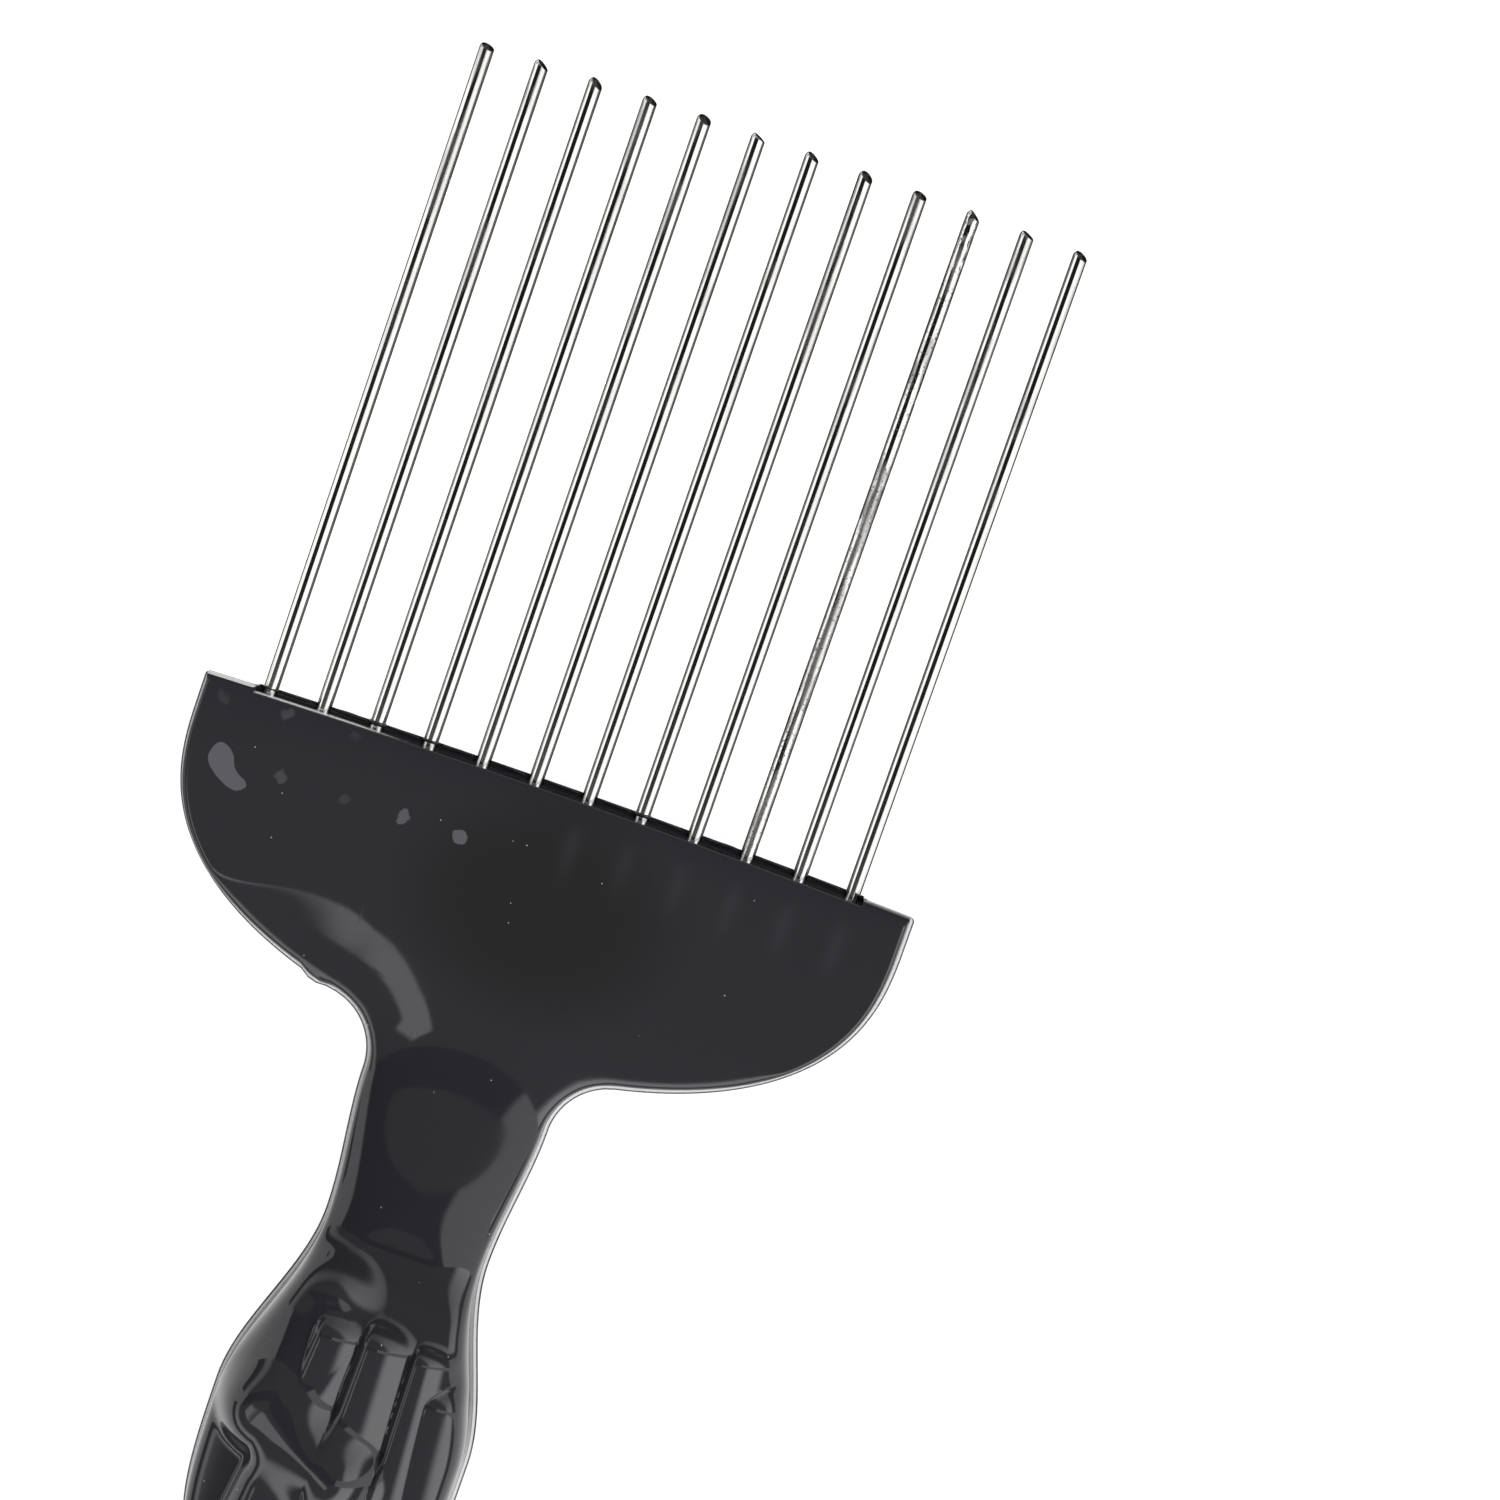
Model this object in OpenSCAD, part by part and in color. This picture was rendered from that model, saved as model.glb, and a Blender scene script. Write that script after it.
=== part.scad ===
// Afro pick: twelve steel pins in a moulded half-moon head, with a clenched-fist handle.
// The comb lies on its back, with the pins pointing along +Y and the front facing +Z.
// Places along the handle are distances s, measured from the pin edge towards the fist.

/* [Pins] */
// Number of pins in the row
pin_count = 12; // [6:1:12]
// Distance between the centres of neighbouring pins
pin_pitch = 6; // [5.9:0.05:6.2]
// Diameter of the steel wire
pin_d = 1.6; // [1.2:0.1:1.8]
// Length of a pin outside the head
pin_free = 72; // [50:1:90]
// Length of a pin inside the head
pin_tail = 9; // [7:0.5:12]
// Height of the dome on the free end
tip_h = 0.75; // [0.4:0.05:1.2]
// Bevel on the buried end
tail_bevel = 0.2; // [0.1:0.05:0.3]
// Depth of the groove that keys a tail into the plastic
key_depth = 0.18; // [0.1:0.02:0.3]
// Length of that groove
key_len = 1; // [0.6:0.1:1.6]
// Distance from the buried end to the groove
key_from_end = 2.4; // [1.5:0.1:4]
// Radial clearance between a tail and the plastic round it
pin_fit = 0.01; // [0.01:0.005:0.05]

/* [Head] */
// Width of the head across the pin row
head_w = 80.4; // [76:0.2:90]
// Thickness of the flat head
head_t = 6; // [5:0.1:8]
// Depth of the half-moon, from the pin edge to where its curve would close
moon_depth = 30.3; // [26:0.1:36]
// Length of the straight sides below the corners
side_run = 4; // [2:0.5:6]
// Radius of the two corners of the pin edge
corner_r = 0.6; // [0.4:0.1:1.5]
// Outward bow of the pin edge in its middle
edge_bow = 0.7; // [0.1:0.1:1.5]
// Depth of the step in the front of the pin edge, where the pins come out
step_depth = 0.7; // [0.3:0.1:1.2]
// Width of that step beyond the outer pins
step_margin = 1.2; // [0.9:0.1:2]
// Rounding of the pin edge
top_round = 0.5; // [0.3:0.05:0.8]
// Rounding of the sides of the head
side_round = 1.3; // [0.8:0.1:1.8]

/* [Wrist] */
// Radius of the neck fillet between the half-moon and the wrist
neck_r = 6.9; // [5:0.1:9]
// Width of the wrist below the neck fillet
wrist_w = 21.2; // [18:0.2:24]
// Width of the wrist where it is narrowest
waist_w = 18.6; // [16:0.2:21]
// Distance from the pin edge to the narrowest place
waist_s = 51; // [46:0.5:56]
// Height of the front of the wrist above the back of the head
wrist_t = 9.6; // [8:0.1:12]
// Rise of the back of the wrist above the back of the head
wrist_arch = 0.9; // [0.2:0.1:1.6]
// Rounding of the wrist edges
wrist_round = 10; // [8:0.2:10.6]

/* [Fist] */
// Length of the whole moulding, from the pin edge to the knuckles
handle_len = 96; // [90:0.5:110]
// Width of the fist
fist_w = 28.8; // [26:0.2:32]
// Distance from the pin edge to the widest place of the fist
fist_s = 72; // [68:0.5:78]
// Height of the palm under the fingers
palm_t = 14; // [12:0.1:15]
// Fall of the palm and the fingers from the middle of the fist to its sides
barrel = 3.5; // [2:0.1:4.5]
// Height of the curled fingers
finger_t = 16; // [15.2:0.1:18]
// Width of a curled finger from crease to crease
finger_w = 5.15; // [4.6:0.05:5.6]
// Distance from the middle of the fist to the crease beside the little finger
crease_x = 10.6; // [9.8:0.1:11.4]
// Height of the thumb where it lies over the first finger
thumb_t = 17.6; // [16.2:0.1:19]
// Width of the thumb
thumb_w = 6.4; // [5.6:0.1:7.6]
// Height of the parting line at the fist
fist_part_z = 6.4; // [5:0.1:7.5]
// Rounding of the fist edges
fist_round = 2.4; // [2:0.1:4]
// Depth of the creases between the knuckles
knuckle_cut = 1; // [0.3:0.1:1.4]

/* [Hidden] */
$fn = 48;

// Half widths and heights that several modules use
head_half = head_w / 2;
wrist_half = wrist_w / 2;
waist_half = waist_w / 2;
fist_half = fist_w / 2;
pin_r = pin_d / 2;
pin_z = head_t / 2;
row_half = (pin_count - 1) * pin_pitch / 2;
overrun = pin_d;

// Height of the bowed pin edge over its corners, at a distance x from the middle
function bow(x) = edge_bow * (1 - pow(x / head_half, 2));

// The whole comb is centred along Y: from the knuckles to the highest tips
tip_bow = bow(pin_count % 2 == 0 ? pin_pitch / 2 : 0);
total_len = handle_len + tip_bow + pin_free;
edge_y = handle_len - total_len / 2;

// Outline of the moulding: half its width at a distance s from the pin edge
moon_power = 2.6;
neck_join = 13;
neck_cx = wrist_half + neck_r;
join_w = neck_cx - neck_r * sin(neck_join);
moon_run = moon_depth - side_run;
join_s = side_run + moon_run * pow(1 - pow(join_w / head_half, 2), 1 / moon_power);
neck_s = join_s + neck_r * cos(neck_join);
end_power = 3.4;
end_root = 2.6;
flat_end_share = 0.985;
close_s = fist_s + (handle_len - fist_s) / flat_end_share;

function clamp01(t) = min(1, max(0, t));
function ease(a, b, s) = let (t = clamp01((s - a) / (b - a))) t * t * (3 - 2 * t);
function mix(a, b, t) = a + (b - a) * t;
function corner_w(s) = head_half - corner_r + sqrt(max(0, pow(corner_r, 2) - pow(corner_r - s, 2)));
function moon_w(s) = head_half * sqrt(max(0, 1 - pow((s - side_run) / moon_run, moon_power)));
function neck_w(s) = neck_cx - sqrt(max(0, pow(neck_r, 2) - pow(neck_s - s, 2)));
function end_w(s) = fist_half
    * pow(max(0, 1 - pow((s - fist_s) / (close_s - fist_s), end_power)), 1 / end_root);
function half_w(s) =
    s < corner_r ? corner_w(s) :
    s < side_run ? head_half :
    s < join_s ? moon_w(s) :
    s < neck_s ? neck_w(s) :
    s < waist_s ? mix(wrist_half, waist_half, ease(neck_s, waist_s, s)) :
    s < fist_s ? mix(waist_half, fist_half, ease(waist_s, fist_s, s)) :
    end_w(s);

// Rows of the loft, closer together where the outline turns
top_shares = [0, 0.25, 1];
moon_rows = 22;
neck_rows = 8;
wrist_rows = 7;
palm_rows = 17;
fist_rows = 16;
end_rows = 8;
end_share = 0.66;
join_turn = acos(join_w / head_half);
end_s = mix(fist_s, handle_len, end_share);
rows = concat(
    [for (t = top_shares) t * top_round],
    [side_run / 2],
    [for (i = [0:moon_rows - 1])
        side_run + moon_run * pow(sin(i * join_turn / moon_rows), 2 / moon_power)],
    [for (i = [0:neck_rows - 1])
        neck_s - neck_r * cos(mix(neck_join, 90, i / neck_rows))],
    [for (i = [0:wrist_rows - 1]) mix(neck_s, waist_s, i / wrist_rows)],
    [for (i = [0:palm_rows - 1]) mix(waist_s, fist_s, i / palm_rows)],
    [for (i = [0:fist_rows - 1]) mix(fist_s, end_s, i / fist_rows)],
    [for (i = [0:end_rows - 1]) mix(end_s, handle_len, sin(90 * i / (end_rows - 1)))]
);

// Distance from a point to the nearest place on the outline, and the s of that place
function along(p, a, b) = clamp01((p - a) * (b - a) / ((b - a) * (b - a)));
function gap_to(p, a, b) = norm(p - mix(a, b, along(p, a, b)));
rim = concat([for (s = rows) [half_w(s), s]], [[0, handle_len]]);
function near_rim(p) = let (
        q = [abs(p[0]), p[1]],
        gaps = [for (i = [0:len(rim) - 2]) gap_to(q, rim[i], rim[i + 1])],
        least = min(gaps),
        i = search(least, gaps)[0]
    ) p[1] < least ? [p[1], 0]
        : [least, mix(rim[i], rim[i + 1], along(q, rim[i], rim[i + 1]))[1]];

// Rounding of the edge as it changes along the outline
heel_s = waist_s + finger_w;
square_from_s = waist_s - finger_w;
round_from_s = join_s - neck_r;
function edge_round(s) =
    s <= 0 ? top_round :
    s < square_from_s ? mix(side_round, wrist_round, ease(round_from_s, join_s, s)) :
    mix(wrist_round, fist_round, ease(square_from_s, heel_s, s));

// Share of the half thickness that stands upright at the parting line
head_wall_share = 0.62;
wrist_wall_share = 0.3;
fist_wall_share = 0.4;
function wall_share(s) = s < square_from_s
    ? mix(head_wall_share, wrist_wall_share, ease(round_from_s, join_s, s))
    : mix(wrist_wall_share, fist_wall_share, ease(square_from_s, heel_s, s));
function dome(p) = let (
        hit = near_rim(p),
        q = clamp01(hit[0] / edge_round(hit[1])),
        wall = wall_share(hit[1])
    ) wall + (1 - wall) * sqrt(1 - pow(1 - q, 2));

// Heights of the faces: the wrist swells out of the flat head below the neck fillet
function part_z(s) = mix(pin_z, fist_part_z, ease(neck_s, fist_s, s));
function fall(x) = barrel * pow(x / fist_half, 2);
function base_front(p) = p[1] < waist_s
    ? mix(head_t, wrist_t, ease(join_s, waist_s, p[1]))
    : mix(wrist_t, palm_t - fall(p[0]), ease(waist_s, heel_s + finger_w, p[1]));
function base_back(s) = wrist_arch * ease(join_s, waist_s, s) * (1 - ease(waist_s, fist_s, s));

// Fingers fan out from their tips at the heel of the hand to their knuckles
fan_x = crease_x - finger_w;
finger_h = finger_t - palm_t;
tip_s = heel_s + finger_w * 0.7;
function soft_max(a, b, blend) = let (h = max(blend - abs(a - b), 0) / blend)
    max(a, b) + h * h * blend / 4;

// Each finger lies on the next one like a shingle: its crest is near its left crease, and a
// long slope falls to the crease on its right
lean_share = 0.7;
right_drop_share = 0.8;
left_drop_share = 0.25;

// The limbs are lines from a to b, each end given as [x, s, height, radius]
function limb(p, a, b) = mix(a, b, along(p, [a[0], a[1]], [b[0], b[1]]));
function gap_in(p, c) = norm(p - [c[0], c[1]]) / c[3];
function finger(p, tip_at, tip_r, late, knuckle_at, knuckle_r, low) = let (
        tip_x = fan_x + finger_w * tip_at,
        knuckle_x = fan_x + finger_w * knuckle_at,
        c = limb(p,
            [tip_x, tip_s + finger_w * (late + tip_r),
                finger_t - fall(tip_x) - finger_h * low, finger_w * tip_r],
            [knuckle_x, handle_len, finger_t - fall(knuckle_x), finger_w * knuckle_r]),
        side = (p[0] - c[0]) / c[3] + lean_share,
        drop = side > 0 ? right_drop_share * pow(side / (1 + lean_share), 2)
            : left_drop_share * pow(side / (1 - lean_share), 2)
    ) c[2] - finger_h * (drop + pow((p[1] - c[1]) / c[3], 2));
function fingers(p) = max(
    finger(p, 0.95, 0.54, 0.55, 1.3, 0.7, 0),
    finger(p, 0.36, 0.39, -0.15, 0.69, 0.62, 0.2),
    finger(p, -0.59, 0.5, -0.26, -0.55, 0.74, 0.2),
    finger(p, -1.56, 0.54, -0.22, -1.87, 0.85, 0.2));

// Ball of the thumb, and the thumb itself, which crosses the first finger
thumb_r = thumb_w * 0.95;
thumb_h = thumb_t - palm_t;
ball = [-wrist_half * 0.5, heel_s + finger_w * 0.4, palm_t, thumb_w];
thumb_joint = [thumb_w - fist_half, fist_s - thumb_w * 0.1, thumb_t - thumb_h * 0.3, thumb_r];
thumb_tip = [fan_x - finger_w * 0.8, fist_s + thumb_w * 0.6, thumb_t, thumb_r];
function laid_over(z, p, a, b) = let (c = limb(p, a, b), gap = gap_in(p, c))
    mix(z, max(z, c[2]), pow(max(0, 1 - gap * gap), 2));
function front_crown(p) = p[1] < waist_s ? base_front(p)
    : laid_over(laid_over(soft_max(base_front(p), fingers(p), finger_h / 4),
        p, ball, thumb_joint), p, thumb_joint, thumb_tip);

// Creases between the knuckles run over the end of the fist and fade out on its back
crease_from_s = mix(fist_s, handle_len, 0.2);
knuckle_pitch = finger_w * 1.3;
function crease(x) = let (k = (x - fan_x) / knuckle_pitch)
    k > -1.5 && k < 1.5 ? pow(cos(180 * k), 4) : 0;
function knuckle(p) = knuckle_cut * crease(p[0]) * ease(crease_from_s, handle_len, p[1]);

function front_z(p) = mix(part_z(p[1]), front_crown(p), dome(p));
function back_z(p) = mix(part_z(p[1]), base_back(p[1]) + knuckle(p), dome(p));
function place(p, z) = [p[0], edge_y - p[1] + bow(p[0]) * (1 - ease(0, join_s, p[1]))
    + knuckle(p), z];

// Places across a row: round the rim first, then on to the middle, alike on both faces
columns = 16;
least_rim_share = 0.25;
rim_reach_share = 0.8;
function rim_in(s) = let (
        slope = (half_w(s + top_round) - half_w(s)) / top_round,
        reach = edge_round(s) * min(neck_r, sqrt(1 + slope * slope))
    ) min(reach, rim_reach_share * half_w(s));
function half_xs(s) = let (
        w = half_w(s),
        reach = rim_in(s),
        turn = max(least_rim_share, rim_reach_share * reach / w)
    ) [for (k = [0:columns - 1]) let (u = k / columns)
        u < turn ? w - reach * (1 - cos(90 * u / turn)) : (w - reach) * (1 - u) / (1 - turn)];
function ring(s) = let (
        half = half_xs(s),
        xs = concat(half, [0], [for (i = [len(half) - 1:-1:0]) -half[i]])
    ) concat(
        [place([half_w(s), s], part_z(s))],
        [for (x = xs) place([x, s], front_z([x, s]))],
        [place([-half_w(s), s], part_z(s))],
        [for (i = [len(xs) - 1:-1:0]) place([xs[i], s], back_z([xs[i], s]))]);

// Skin between the rows, and a strip across the first and the last one to close them
module moulding() {
    rings = [for (s = rows) ring(s)];
    m = len(rings[0]);
    last = len(rings) - 1;
    nf = m / 2 - 1;
    skin = [for (i = [0:last - 1], j = [0:m - 1], half = [0, 1])
        let (
            a = i * m + j,
            b = i * m + (j + 1) % m,
            c = a + m,
            d = b + m,
            on_left = j > nf / 2 && j < m - nf / 2
        )
        on_left ? (half == 0 ? [a, b, c] : [b, d, c]) : (half == 0 ? [a, b, d] : [a, d, c])];
    left = nf + 1;
    cap = concat(
        [[0, 2, 1], [0, m - 1, m - 2], [0, m - 2, 2]],
        [for (j = [2:nf - 2], half = [0, 1])
            half == 0 ? [j, m - j, m - j - 1] : [j, m - j - 1, j + 1]],
        [[left, nf, nf - 1], [left, nf + 3, nf + 2], [left, nf - 1, nf + 3]]);
    polyhedron(
        points = [for (r = rings, p = r) p],
        faces = concat(skin, cap,
            [for (f = cap) [last * m + f[0], last * m + f[2], last * m + f[1]]]));
}

// One pin as a profile turned about its own axis, with its buried end at the origin
module pin_shape(grow) {
    r = pin_r + grow;
    full = pin_tail + pin_free;
    dome_steps = 6;
    rotate_extrude() polygon(concat(
        [[0, -grow], [r - tail_bevel, -grow], [r, tail_bevel - grow],
            [r, key_from_end - grow], [r - key_depth, key_from_end + key_depth - grow],
            [r - key_depth, key_from_end + key_len - key_depth + grow],
            [r, key_from_end + key_len + grow]],
        [for (k = [0:dome_steps])
            [r * cos(90 * k / dome_steps), full - tip_h + tip_h * sin(90 * k / dome_steps)]]));
}

// Place of a pin in the row, counted from 0 at the left
module at_pin(i) {
    x = i * pin_pitch - row_half;
    translate([x, edge_y + bow(x) - pin_tail, pin_z]) rotate([-90, 0, 0]) children();
}

// Step in the front of the pin edge: the pins come out of its floor
module edge_step() {
    bow_r = pow(head_half, 2) / (2 * edge_bow) + edge_bow / 2;
    half = row_half + step_margin;
    difference() {
        translate([-half, edge_y - step_depth - edge_bow, pin_z])
            cube([2 * half, step_depth + 2 * edge_bow + overrun, head_t]);
        translate([0, edge_y + edge_bow - step_depth - bow_r, pin_z - overrun])
            cylinder(r = bow_r, h = head_t + 2 * overrun, $fn = 96);
    }
}

module handle_body() {
    color([0.05, 0.05, 0.06]) difference() {
        moulding();
        edge_step();
        for (i = [0:pin_count - 1]) at_pin(i) pin_shape(pin_fit);
    }
}

module pin(i) {
    color([0.82, 0.82, 0.8]) at_pin(i) pin_shape(0);
}

handle_body();
for (i = [0:pin_count - 1])
    pin(i);
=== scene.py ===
# %% [markdown]
# # An afro pick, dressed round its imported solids
# The comb is one black moulding, cast round twelve steel wires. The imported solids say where
# every piece is. This notebook gives each piece the shape and the finish that the eye expects.
# Everything is in metres in the frame of the solids: the comb lies on its back at z = 0, its
# pins point along +Y, and its front looks up along +Z.

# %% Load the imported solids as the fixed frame
import math

import bmesh
import bpy
import numpy as np
from mathutils import Matrix, Vector


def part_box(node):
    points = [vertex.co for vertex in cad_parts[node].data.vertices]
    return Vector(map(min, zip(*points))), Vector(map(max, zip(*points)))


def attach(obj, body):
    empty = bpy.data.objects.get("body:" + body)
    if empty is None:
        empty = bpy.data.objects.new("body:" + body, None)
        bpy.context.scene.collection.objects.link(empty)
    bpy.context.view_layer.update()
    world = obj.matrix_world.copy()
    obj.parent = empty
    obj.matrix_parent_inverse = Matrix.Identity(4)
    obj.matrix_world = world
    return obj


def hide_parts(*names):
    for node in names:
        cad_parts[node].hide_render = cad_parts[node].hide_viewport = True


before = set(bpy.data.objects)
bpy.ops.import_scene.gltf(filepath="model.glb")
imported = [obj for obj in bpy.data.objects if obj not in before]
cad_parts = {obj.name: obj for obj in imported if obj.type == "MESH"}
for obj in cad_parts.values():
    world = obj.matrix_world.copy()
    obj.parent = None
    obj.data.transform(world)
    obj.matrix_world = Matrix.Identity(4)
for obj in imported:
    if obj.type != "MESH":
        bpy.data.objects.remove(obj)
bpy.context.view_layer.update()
MM = 0.001
PINS = sorted(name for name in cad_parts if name.startswith("pin_"))

# %% [markdown]
# ## One way to build every node tree
# Shader trees and geometry trees are built from the same parts: a node, its settings, and what
# goes into its sockets. One method adds a node, and a small class wraps an output socket, so
# that sums on sockets read like sums on numbers.

# %% Helpers for node trees
class Value:
    """An output socket that can be used in sums."""

    def __init__(self, tree, socket):
        self.tree = tree
        self.socket = socket

    def maths(self, operation, *others):
        return self.tree.node("ShaderNodeMath", {"operation": operation}, [self, *others])

    def other(self, name):
        """Another output of the same node."""
        return Value(self.tree, self.socket.node.outputs[name])

    def __add__(self, other): return self.maths("ADD", other)
    def __sub__(self, other): return self.maths("SUBTRACT", other)
    def __mul__(self, other): return self.maths("MULTIPLY", other)
    def __truediv__(self, other): return self.maths("DIVIDE", other)
    def __pow__(self, other): return self.maths("POWER", other)
    def __neg__(self): return self.maths("MULTIPLY", -1.0)
    def __rsub__(self, other): return (-self).maths("ADD", other)
    __radd__ = __add__
    __rmul__ = __mul__

    def ramp(self, low, high):
        """0 at low, 1 at high, smooth between them, and flat beyond."""
        return self.tree.node("ShaderNodeMapRange", {"interpolation_type": "SMOOTHSTEP"},
                              {"Value": self, "From Min": low, "From Max": high})


class Tree:
    """A node tree under construction."""

    def __init__(self, tree):
        self.tree = tree

    def node(self, kind, settings=None, values=None, out=0):
        """Adds a node: settings first, then the values or links of its sockets."""
        made = self.tree.nodes.new(kind)
        for name, value in (settings or {}).items():
            setattr(made, name, value)
        values = values or {}
        pairs = values.items() if isinstance(values, dict) else enumerate(values)
        for key, value in pairs:
            if isinstance(value, Value):
                self.tree.links.new(value.socket, made.inputs[key])
            else:
                made.inputs[key].default_value = value
        return Value(self, made.outputs[out]) if made.outputs else made

    def curve(self, value, points):
        """A smooth curve through the points, flat beyond the first and the last one."""
        first, last = points[0][0], points[-1][0]
        top = max(y for _, y in points)
        made = self.node("ShaderNodeFloatCurve", values={"Value": (value - first) / (last - first)})
        mapping = made.socket.node.mapping
        mapping.extend = "HORIZONTAL"
        line = mapping.curves[0]
        for x, y in points[1:-1]:
            line.points.new((x - first) / (last - first), y / top)
        line.points[0].location = (0, points[0][1] / top)
        line.points[-1].location = (1, points[-1][1] / top)
        mapping.update()
        return made * top

    def blend(self, factor, low, high):
        """Mixes two colours."""
        mix = {"data_type": "RGBA"}
        return self.node("ShaderNodeMix", mix, {0: factor, 6: low, 7: high}, out=2)


def new_material(name):
    """An empty material and its tree."""
    material = bpy.data.materials.new(name)
    material.use_nodes = True
    material.node_tree.nodes.clear()
    return material, Tree(material.node_tree)


print("helpers ready")

# %% [markdown]
# ## The camera
# The photograph looks almost straight down on the comb, from its pin side, with the comb turned
# clockwise in the picture and the end of the fist cut off by the frame. The camera aims at a
# point beside the pin roots and stands a little towards the tips, so they look slightly wider
# apart than the roots. It comes first because everything after it is judged through it.

# %% Camera
AIM = Vector((17.5, 22.6, 3.0)) * MM
CAMERA_DISTANCE = 0.36
CAMERA_TILT = math.radians(5.5)
CAMERA_ROLL = math.radians(19.4)
LENS = 81.0
SENSOR = 36.0


def add_camera():
    data = bpy.data.cameras.new("camera")
    data.sensor_width = SENSOR
    data.lens = LENS
    data.clip_start = CAMERA_DISTANCE / 100
    data.clip_end = CAMERA_DISTANCE * 100
    camera = bpy.data.objects.new("camera", data)
    bpy.context.scene.collection.objects.link(camera)
    tilt = Matrix.Rotation(-CAMERA_TILT, 4, "X")
    roll = Matrix.Rotation(CAMERA_ROLL, 4, "Z")
    back = Matrix.Translation((0, 0, CAMERA_DISTANCE))
    camera.matrix_world = Matrix.Translation(AIM) @ tilt @ roll @ back
    bpy.context.scene.camera = camera
    return camera


camera = add_camera()
print("camera at", [round(v / MM, 1) for v in camera.matrix_world.translation], "mm")

# %% [markdown]
# ## Sizes of the moulding
# The head, the wrist and the fist are one skin. Its outline is a chain of simple curves along
# the handle: a flattened half-moon, a round neck fillet, a wrist that narrows, and a rounded
# fist. Distances along the handle, called s, run from the pin edge towards the fist, and all
# lengths in this cell are in millimetres. What the frame knows is read from it. The rest
# repeats the sizes that the solids were drawn with. Only the neck is rounded a little wider,
# because the crescent of light at the neck asks for it, and the walls have a draft.

# %% Sizes
body_low, body_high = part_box("handle_body")
pin_low, pin_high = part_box(PINS[0])
pin_x = [(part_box(name)[0].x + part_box(name)[1].x) / 2 / MM for name in PINS]
HEAD_HALF = body_high.x / MM
HANDLE_END_Y = body_low.y / MM
PIN_R = (pin_high.x - pin_low.x) / 2 / MM
PIN_Z = (pin_low.z + pin_high.z) / 2 / MM
HEAD_T = 2 * PIN_Z
ROW_HALF = (pin_x[-1] - pin_x[0]) / 2
EDGE_BOW = 0.7
HANDLE_LEN = 96.0
EDGE_Y = HANDLE_END_Y + HANDLE_LEN
MOON_DEPTH, SIDE_RUN, CORNER_R, MOON_POWER = 30.3, 4.0, 0.6, 2.6
TOP_ROUND, SIDE_ROUND, NECK_ROUND, WRIST_ROUND, FIST_ROUND = 0.5, 1.3, 12.0, 10.0, 2.4
HEAD_WALL, WRIST_WALL, FIST_WALL = 0.62, 0.3, 0.4
STEP_DEPTH, STEP_HALF = 0.7, ROW_HALF + 1.2
NECK_R, NECK_JOIN = 6.9, math.radians(13)
WRIST_HALF, WAIST_HALF, WAIST_S, WRIST_T, WRIST_ARCH = 10.6, 9.3, 51.0, 9.6, 0.9
FIST_HALF, FIST_S, PALM_T, FINGER_T, FINGER_W = 14.4, 72.0, 14.0, 16.0, 5.15
BARREL, CREASE_X, THUMB_W, FIST_PART_Z, KNUCKLE_CUT = 3.5, 10.6, 6.4, 6.4, 1.0
THUMB_T = body_high.z / MM - 0.02
END_POWER, END_ROOT, FLAT_END = 3.4, 2.6, 0.985

DRAFT, DRAFT_REACH, TUCK = 0.6, 1.6, 0.55
FLANGE = [0, 0.16, 0.19, 0.44, 0.48]

NECK_CX = WRIST_HALF + NECK_R
JOIN_W = NECK_CX - NECK_R * math.sin(NECK_JOIN)
MOON_RUN = MOON_DEPTH - SIDE_RUN
JOIN_S = SIDE_RUN + MOON_RUN * (1 - (JOIN_W / HEAD_HALF) ** 2) ** (1 / MOON_POWER)
NECK_S = JOIN_S + NECK_R * math.cos(NECK_JOIN)
CLOSE_S = FIST_S + (HANDLE_LEN - FIST_S) / FLAT_END
ROUND_FROM_S, ROUND_TO_S = JOIN_S - 8.0, JOIN_S - 0.5
WRIST_FROM_S, WRIST_TO_S = ROUND_TO_S - 1, JOIN_S + 2
HEEL_S = WAIST_S + FINGER_W
SQUARE_FROM_S = WAIST_S - FINGER_W
print(f"pin edge at y = {EDGE_Y:.2f} mm, neck from s = {JOIN_S:.1f} to {NECK_S:.1f} mm")

# %% [markdown]
# ## The outline and the rounding of its edge
# The skin could be carved by a sculptor, but a rule keeps it smooth and repeatable. Each face
# is a height above the parting plane. It starts as a short upright wall at the outline, and a
# quarter of an ellipse carries it up to the face. The distance from a point to the outline
# says where on that ellipse it is, so the rounding keeps its width round every corner.

# %% Outline and edge rounding
def ease(low, high, t):
    """0 at low, 1 at high, with no kink at either end."""
    t = np.clip((t - low) / (high - low), 0, 1)
    return t * t * (3 - 2 * t)


def mix(a, b, t):
    return a + (b - a) * t


def half_width(s):
    """Half the width of the moulding at each distance s from the pin edge."""
    s = np.asarray(s, float)
    corner = HEAD_HALF - CORNER_R + np.sqrt(np.maximum(0, CORNER_R ** 2 - (CORNER_R - s) ** 2))
    moon = HEAD_HALF * np.maximum(
        0, 1 - np.clip((s - SIDE_RUN) / MOON_RUN, 0, 1) ** MOON_POWER) ** 0.5
    neck = NECK_CX - np.sqrt(np.maximum(0, NECK_R ** 2 - (NECK_S - s) ** 2))
    wrist = mix(WRIST_HALF, WAIST_HALF, ease(NECK_S, WAIST_S, s))
    palm = mix(WAIST_HALF, FIST_HALF, ease(WAIST_S, FIST_S, s))
    end = FIST_HALF * np.maximum(
        0, 1 - np.clip((s - FIST_S) / (CLOSE_S - FIST_S), 0, 1) ** END_POWER) ** (1 / END_ROOT)
    zones = [s < CORNER_R, s < SIDE_RUN, s < JOIN_S, s < NECK_S, s < WAIST_S, s < FIST_S]
    return np.select(zones, [corner, HEAD_HALF, moon, neck, wrist, palm], end)


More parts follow.
